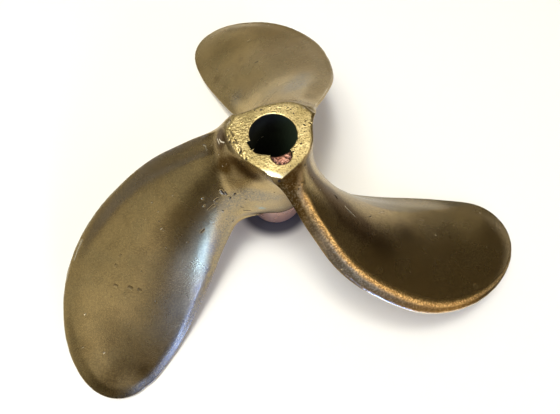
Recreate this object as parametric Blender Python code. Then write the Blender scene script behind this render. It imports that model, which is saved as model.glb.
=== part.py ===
"""Three-bladed left-hand boat propeller, an old bronze casting lying on its aft hub end.

The shaft axis is +Z, the aft end of the hub is at z = 0 and the forward face is up.
Run it with: blender --background --python part.py
"""

import math

import bmesh
import bpy
import numpy as np
from mathutils import Matrix, Vector

MM = 0.001
WELD = 0.001

# Blades, in millimetres and degrees
TIP_RADIUS = 152.4
PITCH = 240.0
ADVANCE = PITCH / (2 * math.pi)
BLADE_COUNT = 3
FIRST_BLADE_ANGLE = -34.8
# One row for each section of the blade: its radius as a share of the tip radius, its half width,
# its skew in degrees, its rake above the aft hub end, and its greatest thickness
SECTIONS = (
    (0.120, 16.6, -8.0, 47.5, 12.5),
    (0.160, 18.5, -8.0, 48.0, 12.0),
    (0.200, 18.6, -7.0, 46.0, 11.0),
    (0.300, 25.5, -2.6, 41.5, 9.4),
    (0.450, 39.0, 3.0, 34.0, 7.4),
    (0.600, 51.0, 8.5, 29.0, 5.8),
    (0.750, 63.5, 13.5, 24.5, 4.5),
    (0.900, 73.5, 19.5, 23.0, 3.4),
    (1.000, 78.5, 23.5, 20.5, 2.6),
)
# The edges: their own thickness, the width of the bevel beside them, and how thick the blade is
# inside the bevel, as a share of the greatest thickness in front and in millimetres behind
LEADING_EDGE = 1.2
LEADING_BEVEL = 7.0
LEADING_SHARE = 0.65
TRAILING_EDGE = 1.0
TRAILING_BEVEL = 3.0
TRAILING_THICKNESS = 1.8
BEVEL_SOFTNESS = 0.35

# Fillets where the blades run into the hub, at the leading and at the trailing end of each side.
# They were finished by hand, so the one at the leading end of the back differs for each blade
BACK_LEADING_FILLETS = (7.0, 14.0, 18.0)
BACK_TRAILING_FILLET = 6.0
FACE_LEADING_FILLET = 10.0
FACE_TRAILING_FILLET = 7.0
ROOT_RADIUS = 20.0
ROOT_HEIGHT = 20.0

# Hub, in millimetres: height and radius of its barrel, which stands out over the aft boss.
# The barrel leans a little away from the bore's axis, and the boss stands a little beside it
HUB_LENGTH = 81.0
LEDGE_HEIGHT = 22.0
BARREL = (
    (LEDGE_HEIGHT, 17.6),
    (24.0, 18.6),
    (28.0, 19.6),
    (36.0, 20.2),
    (48.0, 20.5),
    (62.0, 20.1),
    (HUB_LENGTH, 18.6),
)
BARREL_LEAN = 0.8
BARREL_LEAN_ANGLE = -60.0
BOSS_OUTLINE = ((0.0, 16.0), (0.9, 16.8), (30.0, 16.9))
BOSS_SHIFT = 0.6

# Tapered shaft bore, large end forward, with its keyway
BORE_FORWARD_RADIUS = 11.4
BORE_TAPER = 1 / 16
KEYWAY_WIDTH = 4.8
KEYWAY_REACH = 13.1
KEYWAY_ANGLE = -150.0
OVERRUN = 5.0

# Half-round locking pin, driven in between shaft and hub
PIN_RADIUS = 4.9
PIN_LENGTH = 13.0
PIN_CENTRE = 12.0
PIN_ANGLE = -71.0
PIN_SUNK = 0.4
PIN_GAP = 0.3

# How finely the surfaces are divided
CHORD_STEPS = 22
ROOT_STEPS = 9
OUTER_STEPS = 19
EDGE_STEPS = 3
HUB_STEPS = 6
TURN_STEPS = 72
PIN_STEPS = 40
LAST_TURN = 88.3
SHARP_ANGLE = 35.0


def remove_scene_objects():
    for obj in list(bpy.data.objects):
        bpy.data.objects.remove(obj, do_unlink=True)


def metal(name, colour, roughness):
    material = bpy.data.materials.new(name)
    material.use_nodes = True
    shader = material.node_tree.nodes["Principled BSDF"]
    shader.inputs["Base Color"].default_value = (*colour, 1.0)
    shader.inputs["Roughness"].default_value = roughness
    shader.inputs["Metallic"].default_value = 1.0
    return material


def mesh_object(name, points, faces):
    """A closed object from points in millimetres: open rims are filled and normals turned out."""
    mesh = bpy.data.meshes.new(name)
    mesh.from_pydata([tuple(MM * c for c in p) for p in points], [], faces)
    shape = bmesh.new()
    shape.from_mesh(mesh)
    bmesh.ops.remove_doubles(shape, verts=shape.verts, dist=WELD * MM)
    bmesh.ops.holes_fill(shape, edges=shape.edges, sides=0)
    bmesh.ops.recalc_face_normals(shape, faces=shape.faces)
    shape.to_mesh(mesh)
    shape.free()
    obj = bpy.data.objects.new(name, mesh)
    bpy.context.scene.collection.objects.link(obj)
    return obj


def helper(obj):
    """Marks a shape that only adds to or cuts another one."""
    obj.hide_render = True
    obj.display_type = "WIRE"
    return obj


def boolean(obj, other, operation):
    modifier = obj.modifiers.new(other.name, "BOOLEAN")
    modifier.solver = "EXACT"
    modifier.operation = operation
    modifier.object = helper(other)


def upright(radius, angle, height):
    """The point at a radius and an angle about the shaft axis."""
    return radius * math.cos(angle), radius * math.sin(angle), height


def grid_faces(grid, offset):
    """The four-sided faces between the rows of a grid whose points start at an offset."""
    width = len(grid[0])
    starts = [offset + row * width + i for row in range(len(grid) - 1) for i in range(width - 1)]
    return [(start, start + 1, start + width + 1, start + width) for start in starts]


def surface_object(name, grids):
    """One closed object from grids of radius, angle and height that meet along their rims."""
    points, faces = [], []
    for grid in grids:
        faces += grid_faces(grid, len(points))
        points += [upright(*point) for row in grid for point in row]
    return mesh_object(name, points, faces)


def turned(name, outline, steps):
    """A solid turned about the shaft axis from pairs of height and radius."""
    angles = [2 * math.pi * i / steps for i in range(steps + 1)]
    return surface_object(name, [[[(radius, a, height) for a in angles] for height, radius in outline]])


def mix(first, second, share):
    return first + (second - first) * share


def ease(share):
    """Rises from nought to one and is level at both ends."""
    share = min(max(share, 0.0), 1.0)
    return share * share * (3 - 2 * share)


def section_values(share):
    """Half width, skew in radians, rake and thickness at a share of the tip radius."""
    table = np.array(SECTIONS)
    slopes = np.gradient(table[:, 1:], table[:, 0], axis=0)
    row = int(np.clip(np.searchsorted(table[:, 0], share) - 1, 0, len(table) - 2))
    step = table[row + 1, 0] - table[row, 0]
    t = (share - table[row, 0]) / step
    values = (
        (2 * t**3 - 3 * t**2 + 1) * table[row, 1:]
        + (t**3 - 2 * t**2 + t) * step * slopes[row]
        + (3 * t**2 - 2 * t**3) * table[row + 1, 1:]
        + (t**3 - t**2) * step * slopes[row + 1]
    )
    half_width, skew, rake, thickness = values
    return half_width, math.radians(skew), rake, thickness


def bevel(share):
    """Rises straight from nought and rounds over to one."""
    if share < 1 - BEVEL_SOFTNESS:
        return share
    if share > 1 + BEVEL_SOFTNESS:
        return 1.0
    return share - (share - 1 + BEVEL_SOFTNESS) ** 2 / (4 * BEVEL_SOFTNESS)


def thickness_at(across, share, half_width, greatest):
    """A bevel in front, an arched back and a thin trailing edge."""
    inside = (1 - share**2) * (1 - across**2)
    slope = math.hypot(share / TIP_RADIUS, across * math.sqrt(1 - share**2) / half_width)
    trailing = ease((across + 1) / 2)
    shoulder = mix(LEADING_SHARE * greatest, TRAILING_THICKNESS, trailing)
    arch = mix(shoulder, greatest, 1 - across**2)
    edge = min(mix(LEADING_EDGE, TRAILING_EDGE, trailing), arch)
    width = mix(LEADING_BEVEL, TRAILING_BEVEL, trailing)
    return mix(edge, arch, bevel(inside / (2 * slope * width)))


def section_point(radius, across, is_back):
    """Angle and height on one side of a section, from -1 at its leading to 1 at its trailing edge."""
    share = radius / TIP_RADIUS
    half_width, skew, rake, greatest = section_values(share)
    angle = skew + across * half_width * math.sqrt(1 - share**2) / radius
    lift = -LEADING_EDGE / 2
    if is_back:
        lift += thickness_at(across, share, half_width, greatest)
    helix = math.hypot(radius, ADVANCE)
    height = rake - ADVANCE * angle + lift * radius / helix
    return angle + lift * ADVANCE / (helix * radius), height


def meeting(radius, is_back, level):
    """How far across a section falls to a level: -1 if it starts below, 1 if it ends above."""
    low, high = -1.0, 1.0
    if section_point(radius, low, is_back)[1] <= level:
        return low
    if section_point(radius, high, is_back)[1] >= level:
        return high
    for _ in range(30):
        middle = (low + high) / 2
        if section_point(radius, middle, is_back)[1] > level:
            low = middle
        else:
            high = middle
    return high


def barrel_radius(height, angle):
    heights, radii = zip(*BARREL)
    lean = BARREL_LEAN * height / HUB_LENGTH * math.cos(angle - math.radians(BARREL_LEAN_ANGLE))
    return float(np.interp(height, heights, radii)) + lean


def fillet_at(above, size):
    """How far a side grows outwards at a height above the hub."""
    rest = min(max(size - above, 0.0), size)
    return size - math.sqrt(size**2 - rest**2)


def section_row(number, radius, is_back):
    """Points across one side of a blade, as radius, angle and height."""
    first = meeting(radius, is_back, HUB_LENGTH)
    last = meeting(radius, is_back, LEDGE_HEIGHT) if radius < ROOT_RADIUS + ROOT_HEIGHT / 2 else 1.0
    fillets = (FACE_LEADING_FILLET, FACE_TRAILING_FILLET)
    if is_back:
        fillets = (BACK_LEADING_FILLETS[number], BACK_TRAILING_FILLET)
    blade_angle = math.radians(FIRST_BLADE_ANGLE + 360 / BLADE_COUNT * number)
    above = radius - ROOT_RADIUS
    slant = math.hypot(radius, ADVANCE) / (ADVANCE * radius)
    row = []
    for i in range(CHORD_STEPS + 1):
        place = (1 - math.cos(math.pi * i / CHORD_STEPS)) / 2
        angle, height = section_point(radius, mix(first, last, place), is_back)
        flare = fillet_at(above, mix(*fillets, place)) * slant
        angle += blade_angle + (flare if is_back else -flare)
        at_root = radius + barrel_radius(height, angle) - ROOT_RADIUS
        row.append((mix(at_root, radius, ease(above / ROOT_HEIGHT)), angle, height))
    return row


def section_radii():
    """Close together at the root and near the tip, wider between."""
    near = [ROOT_RADIUS + ROOT_HEIGHT * (i / ROOT_STEPS) ** 1.7 for i in range(ROOT_STEPS)]
    turn = math.asin((ROOT_RADIUS + ROOT_HEIGHT) / TIP_RADIUS)
    turns = [mix(turn, math.radians(LAST_TURN), i / OUTER_STEPS) for i in range(OUTER_STEPS + 1)]
    return near + [TIP_RADIUS * math.sin(turn) for turn in turns]


def between(first, second, steps):
    """A grid of rows that leads from one row of points to another."""
    pairs = list(zip(np.array(first), np.array(second)))
    return [[tuple(mix(a, b, i / steps)) for a, b in pairs] for i in range(steps + 1)]


def blade_grids(back, face):
    """Both sides of a blade and the narrow walls along its leading edge, trailing edge and tip."""
    leading = between([row[0] for row in face], [row[0] for row in back], EDGE_STEPS)
    trailing = between([row[-1] for row in face], [row[-1] for row in back], EDGE_STEPS)
    return [back, face, leading, trailing, between(face[-1], back[-1], EDGE_STEPS)]


def barrel_grid(back, next_face):
    """The hub between the foot of a blade's back and the foot of the next blade's face."""
    if next_face[0][1] < back[0][1]:
        next_face = [(radius, angle + 2 * math.pi, height) for radius, angle, height in next_face]
    grid = between(back, next_face, HUB_STEPS)
    return [[(barrel_radius(z, angle), angle, z) for _, angle, z in row] for row in grid]


def blades_and_barrel():
    """The skin of the blades and of the hub between them, which flow into each other."""
    backs, faces, grids = [], [], []
    for number in range(BLADE_COUNT):
        backs.append([section_row(number, radius, True) for radius in section_radii()])
        faces.append([section_row(number, radius, False) for radius in section_radii()])
    for number in range(BLADE_COUNT):
        grids += blade_grids(backs[number], faces[number])
        grids.append(barrel_grid(backs[number][0], faces[(number + 1) % BLADE_COUNT][0]))
    return surface_object("propeller_casting", grids)


def box(name, low, high):
    bottom = [(x, y, low[2]) for x, y in ((low[0], low[1]), (high[0], low[1]),
                                          (high[0], high[1]), (low[0], high[1]))]
    top = [(x, y, high[2]) for x, y, _ in bottom]
    sides = [(i, (i + 1) % 4, (i + 1) % 4 + 4, i + 4) for i in range(4)]
    return mesh_object(name, bottom + top, sides)


def bore_cone(name, extra):
    """The tapered bore, wider all round by an extra amount."""
    half_taper = BORE_TAPER / 2
    aft = BORE_FORWARD_RADIUS - (HUB_LENGTH + OVERRUN) * half_taper + extra
    forward = BORE_FORWARD_RADIUS + OVERRUN * half_taper + extra
    return turned(name, ((-OVERRUN, aft), (HUB_LENGTH + OVERRUN, forward)), TURN_STEPS)


def keyway_cutter():
    """A square slot that follows the bore's taper."""
    half = KEYWAY_WIDTH / 2
    slot = box("keyway", (0.0, -half, -OVERRUN - HUB_LENGTH), (KEYWAY_REACH, half, OVERRUN))
    tilt = Matrix.Rotation(math.atan(BORE_TAPER / 2), 4, "Y")
    turn = Matrix.Rotation(math.radians(KEYWAY_ANGLE), 4, "Z")
    lift = Matrix.Translation((0.0, 0.0, HUB_LENGTH * MM))
    slot.data.transform(turn @ lift @ tilt)
    return slot


def pin_body(name, radius, low, high):
    """A round bar where the locking pin sits."""
    obj = turned(name, ((low, radius), (high, radius)), PIN_STEPS)
    turn = math.radians(PIN_ANGLE)
    centre = Vector((math.cos(turn), math.sin(turn), 0.0)) * PIN_CENTRE * MM
    obj.data.transform(Matrix.Translation(centre))
    return obj


def smooth(obj):
    for polygon in obj.data.polygons:
        polygon.use_smooth = True
    obj.data.set_sharp_from_angle(angle=math.radians(SHARP_ANGLE))


def propeller_casting():
    """Hub and blades, cast in one piece, then faced, bored and keyed."""
    casting = blades_and_barrel()
    boss = turned("aft_boss", BOSS_OUTLINE, TURN_STEPS)
    boss.data.transform(Matrix.Translation((BOSS_SHIFT * MM, 0.0, 0.0)))
    boolean(casting, boss, "UNION")
    boolean(casting, bore_cone("bore", 0.0), "DIFFERENCE")
    boolean(casting, keyway_cutter(), "DIFFERENCE")
    pocket = pin_body("pin_pocket", PIN_RADIUS + PIN_GAP, HUB_LENGTH - PIN_LENGTH - PIN_GAP,
                      HUB_LENGTH + OVERRUN)
    boolean(casting, pocket, "DIFFERENCE")
    casting.data.materials.append(metal("weathered_bronze", (0.30, 0.21, 0.11), 0.45))
    smooth(casting)


def locking_pin():
    """What is left of the copper pin: the half that sat in the hub."""
    pin = pin_body("locking_pin", PIN_RADIUS, HUB_LENGTH - PIN_LENGTH, HUB_LENGTH - PIN_SUNK)
    boolean(pin, bore_cone("pin_trim", 0.5), "DIFFERENCE")
    pin.data.materials.append(metal("copper", (0.55, 0.27, 0.19), 0.6))
    smooth(pin)


remove_scene_objects()
propeller_casting()
locking_pin()
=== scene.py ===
import math

import bmesh
import bpy
import numpy as np
from mathutils import Matrix, Vector, noise
from mathutils.bvhtree import BVHTree
from mathutils.geometry import delaunay_2d_cdt
from mathutils.kdtree import KDTree


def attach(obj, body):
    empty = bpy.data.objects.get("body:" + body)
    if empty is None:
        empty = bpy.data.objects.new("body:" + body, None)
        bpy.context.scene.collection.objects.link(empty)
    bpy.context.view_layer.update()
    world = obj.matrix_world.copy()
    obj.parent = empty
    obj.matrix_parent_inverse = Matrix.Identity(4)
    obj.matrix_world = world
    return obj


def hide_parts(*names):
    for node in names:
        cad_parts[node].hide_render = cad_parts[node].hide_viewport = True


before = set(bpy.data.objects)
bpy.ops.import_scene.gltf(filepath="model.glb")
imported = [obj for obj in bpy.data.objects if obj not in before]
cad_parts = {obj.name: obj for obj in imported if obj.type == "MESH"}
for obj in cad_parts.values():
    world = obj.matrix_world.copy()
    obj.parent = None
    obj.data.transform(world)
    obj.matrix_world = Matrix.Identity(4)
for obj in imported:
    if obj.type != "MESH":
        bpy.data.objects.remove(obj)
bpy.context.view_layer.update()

scene = bpy.context.scene
MM = 0.001

# Camera
# It looks down on the propeller from in front, 250 mm off, as the photograph does. Its place, tilt
# and width of view are those at which the outlines of the blades, hub and bore fall on the picture's.
PICTURE_WIDE, PICTURE_HIGH = 560, 414
CAMERA_PLACE = Vector((0.003435, -0.097862, 0.235061))
CAMERA_TILT = math.radians(21.475)
CAMERA_ROLL = 0.00688
FOCAL_PIXELS = 377.15
straight_ahead = Vector((0.0, math.sin(CAMERA_TILT), -math.cos(CAMERA_TILT)))
level_right = Vector((1.0, 0.0, 0.0))
level_up = level_right.cross(straight_ahead)
view_right = math.cos(CAMERA_ROLL) * level_right + math.sin(CAMERA_ROLL) * level_up
view_up = math.cos(CAMERA_ROLL) * level_up - math.sin(CAMERA_ROLL) * level_right
camera_data = bpy.data.cameras.new("camera")
camera_data.sensor_width = 36.0
camera_data.lens = FOCAL_PIXELS / PICTURE_WIDE * camera_data.sensor_width
camera_data.clip_start = 0.01
camera = bpy.data.objects.new("camera", camera_data)
turned = Matrix((view_right, view_up, -straight_ahead)).transposed()
camera.matrix_world = Matrix.Translation(CAMERA_PLACE) @ turned.to_4x4()
scene.collection.objects.link(camera)
scene.camera = camera


def sight_line(across, down):
    """The direction from the camera through a place in the picture, in its pixels."""
    return (
        straight_ahead
        + view_right * ((across - PICTURE_WIDE / 2) / FOCAL_PIXELS)
        - view_up * ((down - PICTURE_HIGH / 2) / FOCAL_PIXELS)
    ).normalized()


# Propeller casting: blades and barrel
# Hub and blades are one bronze casting. Each blade is a left-hand screw surface with a bevelled
# leading edge, and its root flows into the barrel in a fillet that was ground by hand.
TIP_RADIUS = 152.4
ADVANCE = 240.0 / (2 * math.pi)
BLADE_ANGLES = np.radians((-34.8, 85.2, 205.2))
# Each section's share of the tip radius, half width, skew in degrees, rake and greatest thickness
SECTIONS = np.array((
    (0.120, 16.6, -8.0, 47.5, 12.5),
    (0.160, 18.5, -8.0, 48.0, 12.0),
    (0.200, 18.6, -7.0, 46.0, 11.0),
    (0.300, 25.5, -2.6, 41.5, 9.4),
    (0.450, 39.0, 3.0, 34.0, 7.4),
    (0.600, 51.0, 8.5, 29.0, 5.8),
    (0.750, 63.5, 13.5, 24.5, 4.5),
    (0.900, 73.5, 19.5, 23.0, 3.4),
    (1.000, 78.5, 23.5, 20.5, 2.6),
))
LEADING_EDGE, TRAILING_EDGE = 1.2, 1.0
# The right blade kept its bevel, of this width, this share of the thickness and this rounding at each
# radius in mm. On the other two blades it is ground round. Then comes the trailing edge of each.
SHARP_BEVEL = (
    (20.0, 3.2, 0.40, 0.60), (41.0, 3.4, 0.44, 0.56), (54.0, 3.9, 0.51, 0.50), (72.0, 4.5, 0.61, 0.44),
    (95.0, 4.9, 0.66, 0.40), (140.0, 5.0, 0.66, 0.50))
ROUND_BEVEL = (
    (20.0, 4.0, 0.45, 0.90), (45.0, 6.0, 0.26, 0.95), (100.0, 7.0, 0.30, 0.95), (140.0, 6.0, 0.40, 0.95))
BEVELS = (SHARP_BEVEL, ROUND_BEVEL, ROUND_BEVEL)
TRAILING_BEVELS = ((7.0, 0.95), (7.0, 0.95), (3.0, 0.58))
TRAILING_THICKNESS = 1.8
EDGE_ROUNDING = 0.28
BACK_FILLETS = ((7.0, 6.0), (14.0, 9.0), (18.0, 6.0))
FACE_FILLETS = (10.0, 7.0)
ROOT_RADIUS, ROOT_HEIGHT = 20.0, 20.0
HUB_LENGTH, LEDGE_HEIGHT = 81.0, 22.0
RIM_DROP = 0.3
BARREL_HEIGHTS = (LEDGE_HEIGHT, 24.0, 28.0, 36.0, 48.0, 62.0, HUB_LENGTH)
BARREL_RADII = (17.6, 18.6, 19.6, 20.2, 20.5, 20.1, 18.6)
BARREL_LEAN, BARREL_LEAN_ANGLE = 0.8, math.radians(-60.0)
CHORD_STEPS, ROOT_STEPS, OUTER_STEPS = 64, 30, 70
EDGE_STEPS, BARREL_STEPS = 8, 26
SEARCH_STEPS, CORNER_STEPS = 801, 2001
LAST_SECTION = math.radians(88.3)
# The rounding of the leading edge sets in over the first of these lengths, from the forward face
# outwards, and that of the trailing edge from this radius, over the next length.
LEADING_START, TRAILING_FROM, TRAILING_START = 4, 32, 6


def ease(share):
    share = np.clip(share, 0.0, 1.0)
    return share * share * (3 - 2 * share)


def mix(first, second, share):
    return first + (second - first) * share


def section_values(share):
    """Half width, skew, rake and thickness of the sections at these shares of the tip radius."""
    slopes = np.gradient(SECTIONS[:, 1:], SECTIONS[:, 0], axis=0)
    row = np.clip(np.searchsorted(SECTIONS[:, 0], share) - 1, 0, len(SECTIONS) - 2)
    step = (SECTIONS[row + 1, 0] - SECTIONS[row, 0])[:, None]
    t = (share - SECTIONS[row, 0])[:, None] / step
    values = (
        (2 * t**3 - 3 * t**2 + 1) * SECTIONS[row, 1:]
        + (t**3 - 2 * t**2 + t) * step * slopes[row]
        + (3 * t**2 - 2 * t**3) * SECTIONS[row + 1, 1:]
        + (t**3 - t**2) * step * slopes[row + 1]
    )
    half_width, skew, rake, thickness = values.T[:, :, None]
    return half_width, np.radians(skew), rake, thickness


def thickness_at(across, share, half_width, greatest, number):
    """A bevel in front, an arched back and a thin trailing edge."""
    inside = (1 - share**2) * (1 - across**2)
    slope = np.hypot(share / TIP_RADIUS, across * np.sqrt(1 - share**2) / half_width)
    trailing = ease((across + 1) / 2)
    at, widths, shares, roundings = zip(*BEVELS[number])
    trailing_width, trailing_rounding = TRAILING_BEVELS[number]
    shoulder = mix(np.interp(share * TIP_RADIUS, at, shares) * greatest, TRAILING_THICKNESS, trailing)
    arch = mix(shoulder, greatest, 1 - across**2)
    edge = np.minimum(mix(LEADING_EDGE, TRAILING_EDGE, trailing), arch)
    width = mix(np.interp(share * TIP_RADIUS, at, widths), trailing_width, trailing)
    soft = mix(np.interp(share * TIP_RADIUS, at, roundings), trailing_rounding, trailing)
    rise = np.maximum(inside, 0.0) / (2 * slope * width)
    rounded = rise - (rise - 1 + soft) ** 2 / (4 * soft)
    rise = np.where(rise < 1 - soft, rise, np.where(rise > 1 + soft, 1.0, rounded))
    return mix(edge, arch, rise)


def section_points(radii, across, is_back, number=0):
    """Angle and height on one side of the sections at these radii, from -1 in front to 1 behind."""
    share = radii[:, None] / TIP_RADIUS
    half_width, skew, rake, greatest = section_values(radii / TIP_RADIUS)
    angle = skew + across * half_width * np.sqrt(1 - share**2) / radii[:, None]
    lift = -LEADING_EDGE / 2 + 0 * across
    if is_back:
        lift = lift + thickness_at(across, share, half_width, greatest, number)
    helix = np.hypot(radii[:, None], ADVANCE)
    height = rake - ADVANCE * angle + lift * radii[:, None] / helix
    return angle + lift * ADVANCE / (helix * radii[:, None]), height


def crossing(heights, across, level):
    """How far across each section falls to a level: its front end if it starts below the level."""
    found = []
    for row in heights:
        over = np.nonzero(row > level)[0]
        if len(over) == 0:
            found.append(across[0])
        elif over[-1] == len(row) - 1:
            found.append(across[-1])
        else:
            k = over[-1]
            part = (row[k] - level) / (row[k] - row[k + 1])
            found.append(mix(across[k], across[k + 1], part))
    return np.array(found)


def barrel_radius(height, angle):
    lean = BARREL_LEAN * height / HUB_LENGTH * np.cos(angle - BARREL_LEAN_ANGLE)
    return np.interp(height, BARREL_HEIGHTS, BARREL_RADII) + lean


def blade_side(number, radii, is_back):
    """Radius, angle and height, and how far across, of a grid of points on one side of a blade."""
    fine = np.linspace(-1, 1, SEARCH_STEPS)
    heights = section_points(radii, fine[None, :], is_back, number)[1]
    first = crossing(heights, fine, HUB_LENGTH - RIM_DROP)
    last = np.where(radii < ROOT_RADIUS + ROOT_HEIGHT / 2, crossing(heights, fine, LEDGE_HEIGHT), 1.0)
    half_width = section_values(radii / TIP_RADIUS)[0][:, 0] * np.sqrt(1 - (radii / TIP_RADIUS) ** 2)
    inset = EDGE_ROUNDING / half_width
    first = np.maximum(first, -1 + inset * ease((radii - corner_radius) / LEADING_START))
    last = np.minimum(last, 1 - inset * ease((radii - TRAILING_FROM) / TRAILING_START))
    place = (1 - np.cos(np.pi * np.arange(CHORD_STEPS + 1) / CHORD_STEPS)) / 2
    across = mix(first[:, None], last[:, None], place[None, :])
    angle, height = section_points(radii, across, is_back, number)
    above = radii[:, None] - ROOT_RADIUS
    size = mix(*(BACK_FILLETS[number] if is_back else FACE_FILLETS), place[None, :])
    rest = np.clip(size - above, 0.0, size)
    bend = size - np.sqrt(size**2 - rest**2)
    flare = bend * np.hypot(radii[:, None], ADVANCE) / (ADVANCE * radii[:, None])
    angle = angle + BLADE_ANGLES[number] + (flare if is_back else -flare)
    at_root = radii[:, None] + barrel_radius(height, angle) - ROOT_RADIUS
    radius = mix(at_root, radii[:, None] + 0 * at_root, ease(above / ROOT_HEIGHT))
    return np.stack((radius, angle, height), -1), across


def upright(grid):
    """The points of a grid of radius, angle and height."""
    radius, angle, height = np.moveaxis(grid, -1, 0)
    return np.stack((radius * np.cos(angle), radius * np.sin(angle), height), -1)


# The sections lie close together at the root and the tip. The one where the leading edge reaches
# the forward face lies exactly there.
near = ROOT_RADIUS + ROOT_HEIGHT * (np.arange(ROOT_STEPS) / ROOT_STEPS) ** 1.5
start_turn = math.asin((ROOT_RADIUS + ROOT_HEIGHT) / TIP_RADIUS)
outer_turns = np.linspace(start_turn, LAST_SECTION, OUTER_STEPS)
radii = np.concatenate((near, TIP_RADIUS * np.sin(outer_turns)))
close = np.linspace(ROOT_RADIUS, ROOT_RADIUS + ROOT_HEIGHT, CORNER_STEPS)
close_heights = section_points(close, np.array([[-1.0]]), False)[1][:, 0]
corner_radius = close[np.nonzero(close_heights > HUB_LENGTH - RIM_DROP)[0][-1]]
corner = int(np.argmin(abs(radii - corner_radius)))
radii[corner] = corner_radius
share_out = (radii / TIP_RADIUS)[:, None]

patches = []


def add_grid(points, **marks):
    """Keeps a grid of points as four-sided faces, with a value of each mark for each point."""
    rows, columns = points.shape[:2]
    index = np.arange(rows * columns).reshape(rows, columns)
    quads = np.stack((index[:-1, :-1], index[:-1, 1:], index[1:, 1:], index[1:, :-1]), -1)
    values = {name: np.broadcast_to(value, (rows, columns)).reshape(-1) for name, value in marks.items()}
    patches.append((points.reshape(-1, 3), quads.reshape(-1, 4), values))


def round_the_edge(grid):
    """The edge of a blade's grid, from the forward face round the tip and back to the ledge."""
    return np.concatenate((grid[corner:, 0], grid[-1, 1:], grid[-2::-1, -1]))


def edge_wall(face, back):
    """The blunt edge of a blade, rounded by wear."""
    low, high = round_the_edge(upright(face)), round_the_edge(upright(back))
    out = np.cross(np.gradient(low + high, axis=0), high - low)
    out /= np.linalg.norm(out, axis=1)[:, None] + 1e-9
    tip = len(radii) - corner + CHORD_STEPS // 2
    if out[tip] @ low[tip] < 0:
        out = -out
    part = np.linspace(0, 1, EDGE_STEPS + 1)[:, None, None]
    rounding = EDGE_ROUNDING * (1 - (2 * part - 1) ** 4) * full_edge[None, :, None]
    return mix(low[None], high[None], part) + out[None] * rounding


full_edge = np.concatenate((
    mix(0.2, 1.0, ease((radii[corner:] - corner_radius) / LEADING_START)), np.ones(CHORD_STEPS),
    ease((radii[-2::-1] - TRAILING_FROM) / TRAILING_START)))
backs = [blade_side(number, radii, True) for number in range(3)]
faces = [blade_side(number, radii, False) for number in range(3)]
walls = [edge_wall(faces[number][0], backs[number][0]) for number in range(3)]
strips = []
for number in range(3):
    back, back_across = backs[number]
    face, face_across = faces[number]
    side = {"right": float(number == 0), "left": float(number == 2)}
    rub_and_glint = 0.5 * ease(1 - (back_across + 1) * 12) * ease((share_out - 0.17) / 0.05)
    add_grid(upright(back), across=back_across, edge=rub_and_glint, **side)
    add_grid(upright(face), across=face_across)
    rim_out = round_the_edge(share_out + 0 * back_across)[None]
    rim_across = round_the_edge(back_across)[None]
    rub_and_glint = full_edge[None] * (0.6 - 0.4 * rim_across) * ease((rim_out - 0.42) / 0.2)
    add_grid(walls[number], across=rim_across, edge=rub_and_glint, **side)
    next_face, next_across = faces[(number + 1) % 3]
    next_foot = next_face[0].copy()
    if next_foot[0, 1] < back[0, 0, 1]:
        next_foot[:, 1] += 2 * math.pi
    fade = np.linspace(0, 1, BARREL_STEPS + 1)[:, None]
    strip = mix(back[0][None], next_foot[None], fade[:, :, None])
    strip[..., 0] = barrel_radius(strip[..., 2], strip[..., 1])
    strip = upright(strip)
    strips.append(strip)
    add_grid(strip, across=mix(back_across[0][None], next_across[0][None], fade))

# Propeller casting: bore, keyway and pin pocket
# The shaft bore is reamed to a taper of one in sixteen, the keyway is slotted through it, and half
# a round hole for the pin is drilled in beside it. The mouth is chamfered and worn at the front left.
BORE_RADIUS, BORE_TAPER = 11.4, 1 / 16
KEYWAY_HALF, KEYWAY_REACH, KEYWAY_ANGLE = 2.4, 13.1, math.radians(-150.0)
PIN_RADIUS, PIN_CENTRE, PIN_ANGLE, PIN_LENGTH = 4.9, 12.0, math.radians(-71.0), 13.0
PIN_GAP = 0.3
POCKET_RADIUS = PIN_RADIUS + PIN_GAP
POCKET_FLOOR = HUB_LENGTH - PIN_LENGTH - PIN_GAP
# Rings of the mouth: how far below the face, and how much wider than the bore
MOUTH_RINGS = ((0.09, 0.20), (0.2, 0.12), (0.4, 0.05), (0.8, 0.02), (1.5, 0.0), (3.0, 0.0), (6.0, 0.0))
MOUTH_WEAR, WORN_FROM, WORN_TO, WEAR_DEPTH = 1.75, 214, 222, 6.0
NICK_DEPTH, NICK_AT = 0.45, 349
KEYWAY_STEPS, FRONT_STEPS, POCKET_STEPS, REAR_STEPS = 4, 42, 45, 200


def mouth_wear(angle):
    """How far the mouth is worn outwards: widest beside the keyway, with one nick at the right."""
    turn = (np.degrees(angle) + 360) % 360
    worn = MOUTH_WEAR * ease((turn - WORN_FROM) / 6) * (1 - ease((turn - WORN_TO) / 40))
    nick = NICK_DEPTH * np.exp(-(((turn - NICK_AT) / 2.2) ** 2))
    rough = [0.12 * noise.noise((3 * math.cos(a), 3 * math.sin(a), 0.5))
             + 0.05 * noise.noise((14 * math.cos(a), 14 * math.sin(a), 2.5)) for a in angle]
    return np.maximum(worn + nick + np.array(rough), -0.1)


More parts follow.
